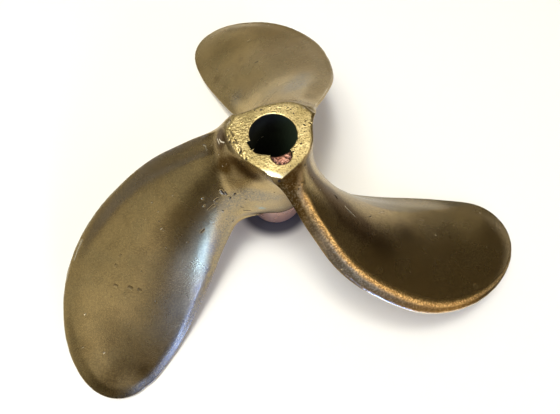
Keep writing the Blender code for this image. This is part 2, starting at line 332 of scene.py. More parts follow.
def bore_ring(height, with_pocket, chamfer, wear):
    """One closed ring of the bore's wall, with the keyway and, near the front, the pin's pocket."""
    narrower = (HUB_LENGTH - height) * BORE_TAPER / 2
    bore, reach = BORE_RADIUS - narrower, KEYWAY_REACH - narrower
    foot = math.asin(KEYWAY_HALF / bore)
    side = np.linspace(bore * math.cos(foot), reach, KEYWAY_STEPS + 1)
    floor = np.linspace(-KEYWAY_HALF, KEYWAY_HALF, 2 * KEYWAY_STEPS + 1)
    key_x = np.concatenate((side[:-1], np.full(len(floor), reach), side[-2::-1]))
    flank = np.repeat(KEYWAY_HALF, KEYWAY_STEPS)
    key_y = np.concatenate((-flank, floor, flank))
    reached = PIN_CENTRE**2 + BORE_RADIUS**2 - POCKET_RADIUS**2
    span = math.acos(reached / (2 * PIN_CENTRE * BORE_RADIUS))
    front = np.linspace(KEYWAY_ANGLE + foot, PIN_ANGLE - span, FRONT_STEPS)[1:-1]
    rear = np.linspace(PIN_ANGLE + span, KEYWAY_ANGLE - foot + 2 * math.pi, REAR_STEPS)[1:-1]
    arc = math.atan2(BORE_RADIUS * math.sin(span), BORE_RADIUS * math.cos(span) - PIN_CENTRE)
    turn = np.linspace(-arc, arc, POCKET_STEPS)
    pocket_x, pocket_y = PIN_CENTRE + POCKET_RADIUS * np.cos(turn), POCKET_RADIUS * np.sin(turn)
    pocket = np.hypot(pocket_x, pocket_y) if with_pocket else np.full(len(turn), bore)
    # the angles of each stretch, its radii, and how much of the wear it takes
    stretches = (
        (np.arctan2(key_y, key_x) + KEYWAY_ANGLE, np.hypot(key_x, key_y), 0.15), (front, bore, 1.0),
        (np.arctan2(pocket_y, pocket_x) + PIN_ANGLE, pocket, 0.0), (rear, bore, 1.0))
    angle, radius, worn = (
        np.concatenate([np.broadcast_to(part[i], len(part[0])) for part in stretches]) for i in range(3))
    radius = radius + worn * (chamfer + wear * mouth_wear(angle))
    return np.stack((radius, angle, np.full(len(angle), float(height))), -1)


rings = []
ring_bore = []
for depth, chamfer in MOUTH_RINGS:
    wear = 1 - float(ease((depth - 0.6) / (WEAR_DEPTH - 0.6)))
    rings.append(bore_ring(HUB_LENGTH - depth, True, chamfer, wear))
    ring_bore.append(float(ease((depth - 0.1) / 0.5)))
rings.append(bore_ring(POCKET_FLOOR, True, 0.0, 0.0))
rings.append(bore_ring(POCKET_FLOOR, False, 0.0, 0.0))
for height in np.linspace(POCKET_FLOOR, 0.0, 12)[1:]:
    rings.append(bore_ring(height, False, 0.0, 0.0))
ring_bore += [1.0] * (len(rings) - len(ring_bore))
bore_wall = np.array(rings)
bore_wall = upright(np.concatenate((bore_wall, bore_wall[:, :1]), axis=1))
add_grid(bore_wall, bore=np.array(ring_bore)[:, None])

# Propeller casting: forward face
# The forward end of the hub is filed flat and is brighter than the rest. It has casting pits, a
# bruised rim at the left and two facets filed away at the front corner.
FACE_PITCH, FACE_INSETS = 0.36, (0.14, 0.34)
LATTICE_REACH, LATTICE_ROW = 26, 0.866
RIM_ROUND, MOUTH_ROUND = 0.5, 0.3
FILED_FROM, MOUTH_BRIGHT, MOUTH_BRIGHT_WIDE = 0.4, 0.35, 0.5
outline_parts = []
for number in range(3):
    back, face = backs[number][0], faces[number][0]
    outline_parts += [strips[(number - 1) % 3][:-1, 0], upright(face[:corner, 0]),
                      walls[number][:-1, 0], upright(back[corner:0:-1, 0])]
face_outline = np.concatenate(outline_parts)
mouth = upright(rings[0])


def inside(points, outline):
    """Which points lie inside a closed outline."""
    x, y = points[:, 0][:, None], points[:, 1][:, None]
    x1, y1 = outline[:, 0][None], outline[:, 1][None]
    x2, y2 = np.roll(x1, -1, axis=1), np.roll(y1, -1, axis=1)
    spans = (y1 > y) != (y2 > y)
    rise = np.where(y2 == y1, 1.0, y2 - y1)
    return (spans & (x < (x2 - x1) * (y - y1) / rise + x1)).sum(1) % 2 == 1


def distance_to(points, outline):
    """How far points lie from a closed outline, seen from above."""
    nearest = np.full(len(points), 1e9)
    for start, end in zip(outline[:, :2], np.roll(outline[:, :2], -1, axis=0)):
        run = end - start
        away = points[:, :2] - start
        part = np.clip((away @ run) / (run @ run + 1e-12), 0, 1)
        nearest = np.minimum(nearest, np.linalg.norm(away - part[:, None] * run, axis=1))
    return nearest


def flat_ring(outer, inner, pitch, insets):
    """Points and triangles between two closed outlines, about a pitch apart."""
    grid_x, grid_y = np.meshgrid(np.arange(-LATTICE_REACH, LATTICE_REACH, pitch),
                                 np.arange(-LATTICE_REACH, LATTICE_REACH, pitch * LATTICE_ROW))
    grid_x = grid_x + (np.arange(grid_x.shape[0]) % 2)[:, None] * pitch / 2
    lattice = np.stack((grid_x.ravel(), grid_y.ravel()), -1)
    lattice = lattice[inside(lattice, outer) & ~inside(lattice, inner)]
    clear = distance_to(lattice, outer) > insets[-1] + pitch * 0.4
    lattice = lattice[clear & (distance_to(lattice, inner) > pitch * 0.4)]
    along = np.roll(outer[:, :2], -1, axis=0) - np.roll(outer[:, :2], 1, axis=0)
    inwards = np.stack((-along[:, 1], along[:, 0]), -1)
    inwards /= np.linalg.norm(along, axis=1)[:, None] + 1e-9
    inset = np.concatenate([outer[:, :2] + inwards * row for row in insets])
    inset = inset[inside(inset, outer) & ~inside(inset, inner)]
    inset = inset[distance_to(inset, outer) > insets[0] * 0.8]
    rim = np.concatenate((outer, inner))
    flat = np.concatenate((rim[:, :2], inset, lattice))
    first, second = len(outer), len(inner)
    loops = [(i, (i + 1) % first) for i in range(first)]
    loops += [(first + i, first + (i + 1) % second) for i in range(second)]
    made = delaunay_2d_cdt([Vector(p) for p in flat], loops, [], 0, 1e-7)
    spots = np.array([tuple(v) for v in made[0]])
    triangles = np.array([t for t in made[2] if len(t) == 3])
    middle = spots[triangles].mean(axis=1)
    triangles = triangles[inside(middle, outer) & ~inside(middle, inner)]
    return spots, triangles


WELD = 0.0005


def tree_of(places):
    """A finder of the places that are near another."""
    tree = KDTree(len(places))
    for i, place in enumerate(places):
        tree.insert(place, i)
    tree.balance()
    return tree


def settle_on_rims(points, rims):
    """Gives the points that lie on the rims the rims' own heights, so that the skins meet."""
    tree = tree_of([(x, y, 0.0) for x, y, _ in rims])
    for point in points:
        _, nearest, gap = tree.find((point[0], point[1], 0.0))
        if gap < WELD:
            point[:] = rims[nearest]


spots, face_triangles = flat_ring(face_outline, mouth, FACE_PITCH, FACE_INSETS)
to_rim = distance_to(spots, face_outline)
to_mouth = distance_to(spots, mouth)
rounding = 1 - np.clip(to_rim / RIM_ROUND, 0, 1)
heights = HUB_LENGTH - RIM_DROP * (1 - np.sqrt(1 - rounding**2 * 0.999))
heights -= MOUTH_RINGS[0][0] * np.clip(1 - to_mouth / MOUTH_ROUND, 0, 1)
face_points = np.column_stack((spots, heights))
settle_on_rims(face_points, np.concatenate((face_outline, mouth)))
patches.append((face_points, face_triangles, {
    "filed": np.clip(to_rim / FILED_FROM, 0, 1), "from_rim": np.minimum(to_rim, 20.0),
    "edge": MOUTH_BRIGHT * ease(1 - to_mouth / MOUTH_BRIGHT_WIDE)}))

# Propeller casting: aft boss
# The turned boss under the barrel is narrower than it. Sea water has left it pink with copper, and
# it stands on the table.
BOSS_RINGS = ((LEDGE_HEIGHT, 16.9), (21.6, 16.9), (16.0, 16.88), (11.0, 16.86), (6.0, 16.84), (3.0, 16.82),
              (1.6, 16.8), (0.8, 16.72), (0.3, 16.5), (0.08, 16.25), (0.0, 15.9))
BOSS_SHIFT = 0.6
ledge_parts = []
for number in range(3):
    ledge_parts += [strips[(number - 1) % 3][:-1, -1], walls[number][:-1, -1]]
ledge = np.concatenate(ledge_parts)
boss_angle = np.arctan2(ledge[:, 1], ledge[:, 0])
boss_rings = [ledge]
for height, radius in BOSS_RINGS:
    boss_rings.append(np.stack((radius * np.cos(boss_angle) + BOSS_SHIFT, radius * np.sin(boss_angle),
                                np.full(len(boss_angle), height)), -1))
boss = np.array(boss_rings)
boss = np.concatenate((boss, boss[:, :1]), axis=1)
add_grid(boss, boss=np.array([0.0, 0.5] + [1.0] * (len(BOSS_RINGS) - 1))[:, None])
foot_spots, foot_triangles = flat_ring(boss_rings[-1], upright(rings[-1]), 1.6, (0.8,))
foot_points = np.column_stack((foot_spots, np.zeros(len(foot_spots))))
settle_on_rims(foot_points, np.concatenate((boss_rings[-1], upright(rings[-1]))))
patches.append((foot_points, foot_triangles, {"boss": np.ones(len(foot_points))}))

# Propeller casting: one skin
# The patches share their rims, so welding them gives the closed skin of the one casting. Marks on
# its points keep where each one lies, for the hand work and the colours.
MARKS = ("across", "edge", "left", "right", "bore", "filed", "boss", "from_rim")
COLOUR_MARKS = ("dirt", "bare_and_glint", "fresh", "shade", "coarse", "verdigris", "golden", "grey")
all_points = np.concatenate([points for points, _, _ in patches])
keys = np.round(all_points / WELD).astype(np.int64)
_, first_use, place = np.unique(keys, axis=0, return_index=True, return_inverse=True)
place = place.reshape(-1)
skin = all_points[first_use]
marks = {}
for name in MARKS:
    values = [np.asarray(kept.get(name, np.zeros(len(points))), float) for points, _, kept in patches]
    merged = np.full(len(skin), -9.0)
    np.maximum.at(merged, place, np.concatenate(values))
    marks[name] = merged
skin_faces = []
offset = 0
for points, polygons, _ in patches:
    for polygon in place[polygons + offset].tolist():
        corners = [v for i, v in enumerate(polygon) if v != polygon[i - 1]]
        if len(corners) > 2 and len(set(corners)) == len(corners):
            skin_faces.append(corners)
    offset += len(points)
rough_mesh = bpy.data.meshes.new("rough_casting")
rough_mesh.from_pydata(skin.tolist(), [], skin_faces)
shape = bmesh.new()
shape.from_mesh(rough_mesh)
bpy.data.meshes.remove(rough_mesh)
bmesh.ops.recalc_face_normals(shape, faces=shape.faces)
layers = {name: shape.verts.layers.float.new(name) for name in MARKS}
for vertex in shape.verts:
    for name in MARKS:
        vertex[layers[name]] = marks[name][vertex.index]
for name in COLOUR_MARKS:
    layers[name] = shape.verts.layers.float.new(name)
print("casting: open edges", sum(1 for edge in shape.edges if not edge.is_manifold))

# Propeller casting: hand work and knocks
# The skin was dressed by hand, so it is slightly wavy. The forward rim is bruised and gouged at the
# left, its front corner is filed away in facets, and the blade edges have worn a little ragged.
# Waves and roughness: how long each wave is, and how high
WAVES = ((25.0, 0.16), (7.0, 0.03))
FACE_WAVES = ((0.9, 0.05), (2.4, 0.04))
RAGGED, RAGGED_LONG = 0.22, 2.6
FOREMOST = HUB_LENGTH - 6
BRUISE_FROM, BRUISE_TO, BRUISE_DEPTH, BRUISE_WIDTH = 150.0, 236.0, 0.55, 2.0
GOUGE_DEPTH = 0.9
# Where the rim is worn round: its direction in degrees, how wide to each side and how deep in mm
SOFT_RIM = ((44.0, 16.0, 1.2), (95.0, 40.0, 0.5), (155.0, 12.0, 0.4), (0.0, 30.0, 0.35))
# The two facets, and the steep corners beside them: direction, how far out, slope and shine
FILE_CUTS = (
    (-76.0, 20.4, 0.038, 1.0), (-104.0, 18.9, 0.055, 1.0),
    (-101.0, 21.9, 0.9, 0.0), (-45.7, 19.5, 0.9, 0.0))
CUT_REACH = 6.5


def ramp(value, start, length):
    """Rises smoothly from 0 at the start to 1 a length further on."""
    return float(ease((value - start) / length))


def hump(away):
    """A smooth hump that is 1 high in its middle."""
    return math.exp(-(away**2))


for vertex in shape.verts:
    place = vertex.co
    turned = vertex[layers["bore"]] + vertex[layers["boss"]] + vertex[layers["filed"]]
    lift = sum(high * noise.noise(place / wide) for wide, high in WAVES)
    ragged = vertex[layers["edge"]] * RAGGED * noise.noise(place / RAGGED_LONG)
    vertex.co += vertex.normal * ((lift + ragged) * max(0.0, 1 - turned))
for vertex in shape.verts:
    place = vertex.co
    if place.z < FOREMOST or vertex[layers["bore"]] > 0:
        continue
    turn = math.degrees(math.atan2(place.y, place.x)) % 360
    from_rim = vertex[layers["from_rim"]]
    below = max(0.0, HUB_LENGTH - RIM_DROP - place.z) if from_rim <= 0 else 0.0
    bruise = ramp(turn, BRUISE_FROM, 12) * (1 - ramp(turn, BRUISE_TO - 16, 16))
    bruise *= 0.8 + 0.7 * noise.noise(place / 5.0)
    slump = (1 - ramp(from_rim, 0.3, BRUISE_WIDTH)) * (1 - ramp(below, 0, 3.0))
    band = ramp(from_rim, 0, 0.6) * (1 - ramp(from_rim, 2.4, 1.2))
    gouge = max(0.0, noise.noise(Vector((place.x * 0.9, place.y * 0.55, 3.0))) - 0.08)
    dent = GOUGE_DEPTH * gouge * band * bruise
    soft_rim = sum(high * hump(((turn - at + 180) % 360 - 180) / wide) for at, wide, high in SOFT_RIM)
    shoulder = max(0.0, 1 - from_rim / 2.4) ** 2 * (1 - ramp(below, 0, 3.5))
    place.z -= BRUISE_DEPTH * bruise * slump + dent + soft_rim * shoulder
    vertex[layers["dirt"]] = min(1.0, dent * 2.2)
    if from_rim > 0:
        fade = from_rim + 0.5 * noise.noise(place / 1.1)
        vertex[layers["filed"]] = ramp(fade, 0.7 * soft_rim, 0.4 + 1.4 * soft_rim)
        vertex[layers["bare_and_glint"]] = max(0.0, min(1.0, bruise * slump * 0.35 - dent * 2))
        place.z += sum(high * noise.noise(place / wide) for wide, high in FACE_WAVES)
    for heading, start, slope, shine in FILE_CUTS:
        heading = math.radians(heading)
        run = place.x * math.cos(heading) + place.y * math.sin(heading) - start
        lowest = HUB_LENGTH - run * slope
        if 0 < run < CUT_REACH and place.z > lowest - 0.03:
            place.z = min(place.z, lowest)
            vertex[layers["fresh"]] = shine * ramp(run, 0, 1.6)
            vertex[layers["filed"]] *= 1 - (1 - shine) * ramp(run, 0, 0.35)

# Propeller casting: pits and scratches
# Sand holes from the mould and the scars of use: each is a line of places in the picture, at which
# the skin is dented. Dirt has settled in some, and others show bare metal. A few with almost no dent,
# marked below, are painted shade and a painted highlight.
DENTS = (
    # width and depth in mm, share of dirt and of bare metal (in a few, painted shade and a painted
    # highlight), then lines of places, across and down
    (0.75, 0.45, 0.9, 0, (221, 190.6, 223.6, 193.6)),
    (0.6, 0.35, 0.8, 0, (224.9, 191.8, 226.4, 194.2)),
    (0.6, 0.32, 0.8, 0, (214.8, 200.6, 217.9, 198.3)),
    (0.55, 0.3, 0.8, 0, (210.9, 207.4, 213.9, 205), (232.8, 221, 233.4, 220.4)),
    (0.5, 0.28, 0.8, 0, (208.2, 209.6, 210.2, 208)), (0.7, 0.32, 0.7, 0, (202.3, 198.8, 203, 198.3)),
    (0.55, 0.25, 0.6, 0, (204, 206.2, 204.9, 205.6)), (0.6, 0.4, 0.9, 0, (230, 197.9, 230.5, 197.5)),
    (0.7, 0.45, 0.9, 0, (234.5, 194.2, 235.1, 193.7)),
    (0.45, 0.25, 0.8, 0, (222.6, 210.8, 223.2, 210.3), (228.4, 236.5)),
    (0.6, 0.35, 0.9, 0, (200.9, 232.2, 204, 229.5)),
    (0.4, 0.22, 0.7, 0, (226.5, 219), (240.2, 207, 243.6, 207.4)),
    (0.45, 0.2, 0.7, 0, (187, 242.4, 188.6, 241.9)), (0.45, 0.22, 0.7, 0, (166.4, 247.6)),
    (0.35, 0.15, 0.2, 0.6, (167.3, 211.6)),
    (0.35, 0.15, 0.2, 0.7, (160.8, 229.1, 161.9, 228.4), (104, 353, 105, 352.4),
     (82.4, 347.6, 83.4, 347.2)),
    (0.3, 0.12, 0.2, 0.6, (154.4, 196.8), (163.5, 206.5), (145.6, 219.6)),
    (0.35, 0.14, 0.2, 0.6, (158, 212, 158.8, 211.3)),
    (0.9, 0.14, 0.35, 0.1, (119.6, 256.5, 120.6, 255.4)),
    (1.05, 0.16, 0.35, 0.15, (115.1, 266.5, 116, 265.6)), (0.5, 0.15, 0.5, 0, (141.4, 271.7)),
    (0.95, 0.14, 0.35, 0.15, (114.6, 285.4, 116.8, 286.6)),
    (1.1, 0.17, 0.4, 0.2, (129.2, 287.6, 131.4, 289)),
    (0.9, 0.15, 0.35, 0.15, (138.8, 289.8, 140.4, 291)), (0.4, 0.2, 0.7, 0, (124.8, 293)),
    (0.5, 0.14, 0.3, 0.3, (155.8, 301.4, 156.6, 302.8)),
    (0.4, 0.18, 0.2, 0.8, (84.6, 314.4, 85.6, 314)),
    (0.35, 0.15, 0.6, 0, (111.2, 296.6), (110.4, 249)), (0.3, 0.12, 0.6, 0, (92, 262)),
    (0.45, 0.28, 0.9, 0, (274.3, 192.4)), (0.35, 0.2, 0.7, 0, (253.3, 192.2)),
    (0.5, 0.25, 0.6, 0, (245.2, 199.6, 246.2, 199.2)),
    (0.45, 0.1, 0.9, 0, (243.6, 210.2, 250.8, 210.8)),
    (0.45, 0.26, 0.9, 0, (334.9, 195.4, 337.4, 198.6)),
    (0.35, 0.14, 0.1, 0.8, (345.6, 206.6, 350.6, 211.6, 355.3, 216.4)),
    (0.4, 0.18, 0.8, 0.1, (347.4, 209.6, 350.4, 212.6)), (0.35, 0.15, 0.1, 0.6, (320.6, 189.8)),
    (0.4, 0.2, 0.4, 0.5, (312.1, 178.4, 312.7, 178.8)), (0.35, 0.16, 0.1, 0.6, (335.1, 218.9)),
    (0.55, 0.28, 0.7, 0.3, (372.6, 233.3, 373, 234.2)),
    (0.4, 0.2, 0.1, 0.8, (435.6, 235, 436.2, 235.2), (486.6, 246.9), (247.6, 31.2)),
    (0.35, 0.16, 0.3, 0.5, (495.8, 224.3)), (0.45, 0.2, 0.5, 0.5, (479.8, 212.6, 480.4, 213.4)),
    (0.4, 0.2, 0.8, 0, (369.5, 216.6, 371, 216)), (0.55, 0.16, 0.3, 0.3, (378, 213, 384, 211.4)),
    (0.45, 0.14, 0.6, 0.1, (419, 219.8, 424.5, 220.8)),
    (0.35, 0.25, 0.3, 0.5, (321.3, 246.2), (341, 269.7, 342, 269), (359.8, 286.4, 361.2, 286),
     (365, 290.2, 366, 290)),
    (0.7, 0.4, 0.9, 0, (254.8, 62.8, 257.6, 61.4)), (0.55, 0.2, 0.6, 0, (247, 41.4, 250.6, 39.6)),
    (0.45, 0.18, 0.5, 0, (265, 86.4, 267.4, 83.6)), (0.4, 0.16, 0.5, 0, (258, 68)),
    (0.55, 0.2, 0.5, 0, (216, 68, 218, 71)), (0.45, 0.3, 0.75, 0, (287.2, 108, 288.2, 107)),
    (0.4, 0.28, 0.75, 0, (290.4, 109.4, 291.2, 108.8), (293.4, 112.8, 294, 113.8)),
    (0.45, 0.3, 0.95, 0, (284.6, 104.8), (279.6, 106)),
    (0.45, 0.32, 0.85, 0, (305.2, 121, 306.2, 120.4)),
    (0.5, 0.36, 0.95, 0, (304, 124.4, 305.2, 125.2)), (0.5, 0.36, 0.8, 0.3, (310.8, 123.4)),
    (0.45, 0.3, 0.9, 0, (304.6, 131.4), (300.6, 143.8, 301.6, 143.2), (295, 147.6)),
    (0.5, 0.34, 0.9, 0, (292.4, 151.8, 293.6, 151.2)), (0.4, 0.28, 0.9, 0, (297.6, 156.6)),
    (0.4, 0.26, 0.9, 0, (290.6, 166), (250, 149.6)),
    (0.4, 0.26, 0.85, 0, (262.6, 109.6), (270, 106.2), (241.6, 122)),
    (0.45, 0.3, 0.6, 0, (231, 131.4, 233.4, 136)), (0.4, 0.28, 0.6, 0, (235, 139, 237.6, 144)),
    # The last dent of this line and the next line: dirt with almost no dent at the keyway's corners, painted
    # shade over two glints.
    (0.4, 0.25, 0.55, 0, (239.6, 146.6, 241.6, 149.6)), (0.55, 0.02, 0.9, 0, (247.8, 140.8)),
    (0.6, 0.02, 0.95, 0, (252.4, 148.7, 253.6, 149.9)),
    (0.48, 0.07, 0, 1, (203.7, 145.2, 205.5, 145.3, 206.6, 150.5)),
    (0.3, 0.07, 0, 0.8, (210.8, 145.6, 211.4, 145.2)),
    (0.36, 0.07, 0, 1, (217, 138.5, 219.1, 143.6), (219.1, 139.2, 220.9, 141.6, 223.8, 142.6)),
    (0.28, 0.07, 0, 0.9, (218.8, 154.9), (222.6, 166.1), (226.1, 164)),
    # Two thin bright arcs by the top blade's root: partly scratches, partly a painted reflection.
    (0.25, 0.05, 0, 0.7, (289, 98.7, 299, 100.6, 307, 107.4), (287, 100.6, 297, 102.6, 304.6, 108.4)),
    (0.3, 0.04, 0, 0.6, (256.8, 142.4, 259, 138.8, 263.6, 136.6)),
    # The first entry here, bare metal with almost no dent along the left blade's leading edge, is a painted
    # highlight.
    (0.55, 0.02, 0, 1, (82, 240, 77.6, 250, 74, 260)), (0.35, 0.14, 0.1, 0.7, (151, 203, 152.4, 202)),
    (0.35, 0.14, 0.6, 0.1, (158.6, 222, 160, 221.2)),
    (0.3, 0.12, 0.1, 0.7, (172.4, 196, 173.2, 195.2)), (0.35, 0.14, 0.6, 0, (163, 231, 164.2, 230.2)),
)
RING_MARK = (475.9, 286.3)
RING_MARK_RADIUS, RING_MARK_DEPTH = 1.25, 0.14
NOTCH, NOTCH_TOWARDS, NOTCH_DEPTH, NOTCH_REACH = (144.0, 385.5), (133.0, 372.0), 1.0, 2.6
# The lip that is pushed up round a dent, and how far out a dent still counts, in widths of the dent
LIP_AT, LIP_WIDE, LIP_HIGH, DENT_REACH = 1.35, 0.35, 0.22, 2.2
FINE_ROUND_DENTS, FINE_LENGTHS = 1.3, (0.9, 0.5, 0.33)
sight = BVHTree.FromBMesh(shape)


def where_seen(across, down):
    """The place on the casting that shows at a place in the picture."""
    return sight.ray_cast(CAMERA_PLACE / MM, sight_line(across, down))[0]


def split_long_edges(places, reach, longest):
    """Splits the edges round the places, so that a small dent has points enough to shape it."""
    tree = tree_of(places)
    long_edges = {
        edge
        for face in shape.faces
        if tree.find(face.calc_center_median())[2] < reach + math.sqrt(face.calc_area())
        for edge in face.edges
        if edge.calc_length() > longest
    }
    bmesh.ops.subdivide_edges(shape, edges=list(long_edges), cuts=1, use_grid_fill=True)


dents = []
for wide, deep, dirt_and_shade_share, bare_and_glint, *lines in DENTS:
    for line in lines:
        seen = [where_seen(*spot) for spot in zip(line[::2], line[1::2])]
        runs = list(zip(seen, seen[1:])) or [(seen[0], seen[0])]
        dents.append((wide, deep, dirt_and_shade_share, bare_and_glint, runs))
ring_centre = where_seen(*RING_MARK)
along_dents = [ring_centre]
for *_, runs in dents:
    for start, end in runs:
        along_dents += [start.lerp(end, part) for part in np.linspace(0, 1, 2 + int((end - start).length))]
for longest in FINE_LENGTHS:
    split_long_edges(along_dents, FINE_ROUND_DENTS, longest)
shape.normal_update()
shape.verts.ensure_lookup_table()
finder = tree_of([vertex.co for vertex in shape.verts])
shift = {}
for wide, deep, dirt_and_shade_share, bare_and_glint, runs in dents:
    for start, end in runs:
        middle, run = (start + end) / 2, end - start
        for place, index, _ in finder.find_range(middle, run.length / 2 + wide * DENT_REACH):
            part = min(1.0, max(0.0, (place - start).dot(run) / (run.length_squared + 1e-9)))
            away = (place - start - run * part).length / wide
            away *= 1 + 0.35 * noise.noise(place * 1.7)
            bowl = max(0.0, 1 - away * away) ** 2
            lip = hump((away - LIP_AT) / LIP_WIDE) * LIP_HIGH
            vertex = shape.verts[index]
            if bowl > 0:
                shift[index] = min(shift.get(index, 0.0), deep * (lip - bowl))
            else:
                shift.setdefault(index, deep * lip)
            vertex[layers["dirt"]] = max(vertex[layers["dirt"]], dirt_and_shade_share * min(1.0, bowl * 1.6))
            vertex[layers["bare_and_glint"]] = max(vertex[layers["bare_and_glint"]], bare_and_glint * min(1.0, bowl * 1.6 + lip * 2))
for place, index, away in finder.find_range(ring_centre, RING_MARK_RADIUS * 2):
    groove = hump((away - RING_MARK_RADIUS) / 0.25)
    shift[index] = shift.get(index, 0.0) - RING_MARK_DEPTH * groove
    shape.verts[index][layers["bare_and_glint"]] = max(shape.verts[index][layers["bare_and_glint"]], 0.5 * groove)
for index, deep in shift.items():
    vertex = shape.verts[index]
    vertex.co += vertex.normal * deep
notch = where_seen(*NOTCH)
inwards = (where_seen(*NOTCH_TOWARDS) - notch).normalized()
for place, index, away in finder.find_range(notch, NOTCH_REACH * 2):
    shape.verts[index].co += inwards * (NOTCH_DEPTH * hump(away / NOTCH_REACH))

# Propeller casting: where its colour changes
# The sand of the mould has left the skin coarser in places, and sea water has left green stains. The
# shade patches are painted: below 0 they darken the skin as painted shade, above 0 they grey and dull
# it as a painted dull reflection. Each patch is a place in the picture, a size in mm and how strong it
# is at its middle.
PAINTED_SHADES = (
    # the right blade, painted shade: its valley, darkest places and coarse front root
    (308, 160, 4, -0.8), (311, 172, 4.5, -1), (317, 181, 4, -0.7), (322, 186, 5, -0.7), (331, 194, 6, -0.9),
    (345, 212, 8, -0.9), (362, 227, 8, -0.6), (382, 242, 11, -0.4), (405, 233, 8, -0.3), (284, 186, 5, -0.9),
    (292, 178, 5, -0.9), (299, 165, 3.5, -0.7), (293, 200, 5, -0.8), (302, 214, 4, -0.5), (312, 230, 4, -0.3),
    # the left blade: painted shade at its tip and root valley, a painted dull reflection on its trailing edge
    (106, 382, 8, -0.5), (124, 366, 9, -0.45), (146, 370, 5, -0.5), (84, 345, 8, -0.35), (200, 188, 6, -0.4),
    (214, 172, 4, -0.3), (220, 135, 4.5, -1), (221, 143, 4, -0.8), (208, 160, 6, -0.2), (222, 158, 5, -0.5),
    (226, 170, 4, -0.4), (217, 168, 4, -0.3), (231, 158, 4, -0.5), (225, 166, 4, -0.7), (231, 181, 4, -0.6),
    (228, 136, 3, -0.4), (217, 248, 5, 1.2), (223, 234, 5, 1.2), (230, 220, 5, 0.9), (211, 270, 4, 1.2),
    (201, 290, 5, 0.8), (160, 300, 9, 0.25), (176, 312, 8, 0.35), (158, 330, 8, 0.3),
    # the forward face: painted shade
    (262, 158, 4.5, -1.1), (251, 152, 4, -0.9), (243, 138, 4, -0.7), (250, 119, 5, -0.8),
    # the barrel above the ledge, greyed as a painted dull reflection, and beside the left blade's root,
    # painted shade
    (262, 196, 7, 0.9), (247, 194, 6, 0.8), (279, 198, 4, 0.6), (232, 203, 7, 1.1),
    (246, 172, 5.5, -0.7), (257, 178, 5, -0.6), (238, 163, 5, -0.6),
    # the root of the top blade: painted shade and a greyed, painted dull reflection
    (217, 79, 5, -0.45), (225, 87, 4, -0.35), (236, 98, 7, 0.8), (294, 86, 8, 1.3), (302, 76, 7, 0.7),
    (272, 92, 6, 0.5), (250, 93, 5, 0.3),
)
COARSE = (
    (285, 184, 6, 1), (293, 172, 6, 1), (300, 160, 5, 0.9), (291, 200, 5, 0.9), (299, 213, 4.5, 0.8),
    (308, 150, 3.5, 0.6), (226, 160, 5, 0.25), (240, 172, 4, 0.2),
)
VERDIGRIS = ((261, 208, 1.6, 0.9), (264.5, 208.6, 1.2, 0.5), (257, 206, 1, 0.4), (281, 208, 3, 0.25))
for name, colour_patches in (("shade", PAINTED_SHADES), ("coarse", COARSE), ("verdigris", VERDIGRIS)):
    for across, down, wide, strength in colour_patches:
        for place, index, away in finder.find_range(where_seen(across, down), wide * 2.3):
            shape.verts[index][layers[name]] += strength * hump(away / wide)

# How far across the blades, from -1 in front to 1 behind, the colour changes. The right blade is golden
# on the ridge of its bevel. Painted shade darkens its bevel and its valley, and behind a line that is
# given by radius it is greyed as a painted dull reflection. The left blade's trailing edge is greyed the
# same way.
RIDGE_ACROSS, BEVEL_ACROSS, RIM_ACROSS = -0.78, -0.885, -0.965
RIGHT_GREY = ((50.0, 85.0, 118.0, 135.0), (0.43, 0.57, 0.82, 0.95))
LEFT_GREY = 0.82
ROOT_END = 26
DARK_VALLEY, DARK_BEVEL, DARK_GREY = 0.42, (0.40, 0.70), 0.35
DARK_GREY_RADIUS, DARK_GREY_WIDE = 68, 14
for vertex in shape.verts:
    across, radius = vertex[layers["across"]], vertex.co.xy.length
    if vertex[layers["left"]] > 0.5:
        # Painted dull reflection: greyer along the left blade's trailing edge.
        behind = ramp(across, LEFT_GREY, 0.1) * ramp(radius, 30, 15)
        vertex[layers["grey"]] = 0.9 * behind
    if vertex[layers["right"]] < 0.5 or radius < ROOT_END:
        continue
    ridge = ramp(RIDGE_ACROSS, across, 0.07)
    bevel = ramp(BEVEL_ACROSS, across, 0.05)
    vertex[layers["golden"]] = ridge * (1 - 0.3 * bevel)
    # Painted dull reflection: the grey band behind a line given by radius.
    grey = ramp(across, np.interp(radius, *RIGHT_GREY), 0.07) * ramp(radius, 30, 12)
    vertex[layers["grey"]] = 0.8 * grey
    # Painted shade: darker over the valley and the bevel, and in the grey band near 68 mm.
    dark = DARK_VALLEY * ramp(radius, ROOT_END, 14) * (1 - ridge)
    dark += bevel * mix(*DARK_BEVEL, ramp(radius, 50, 15))
    dark += DARK_GREY * grey * hump((radius - DARK_GREY_RADIUS) / DARK_GREY_WIDE)
    vertex[layers["shade"]] = vertex[layers["shade"]] * (1 - grey) - dark
    if across < 0:
        rim = ramp(RIM_ACROSS, across, 0.02)
        vertex[layers["edge"]] *= rim * mix(0.25, 1.0, ramp(radius, 55, 30))

casting_mesh = bpy.data.meshes.new("weathered_casting")
shape.transform(Matrix.Scale(MM, 4))
shape.to_mesh(casting_mesh)
print("casting:", sum(len(f.verts) - 2 for f in shape.faces), "triangles")
shape.free()
casting = bpy.data.objects.new("weathered_casting", casting_mesh)
scene.collection.objects.link(casting)
casting_mesh.shade_smooth()
casting_mesh.set_sharp_from_angle(angle=math.radians(50))

# Propeller casting: weathered bronze with painted light
# Brown and olive tarnish over golden bronze, with a fine sand-cast grain. The filed forward face is
# brighter, the edges are rubbed bright, the boss is pink, and the bore is painted dark as shade in the
# deep hole. Painted shade, painted dull reflections and painted glints lie on the blades, barrel and face.


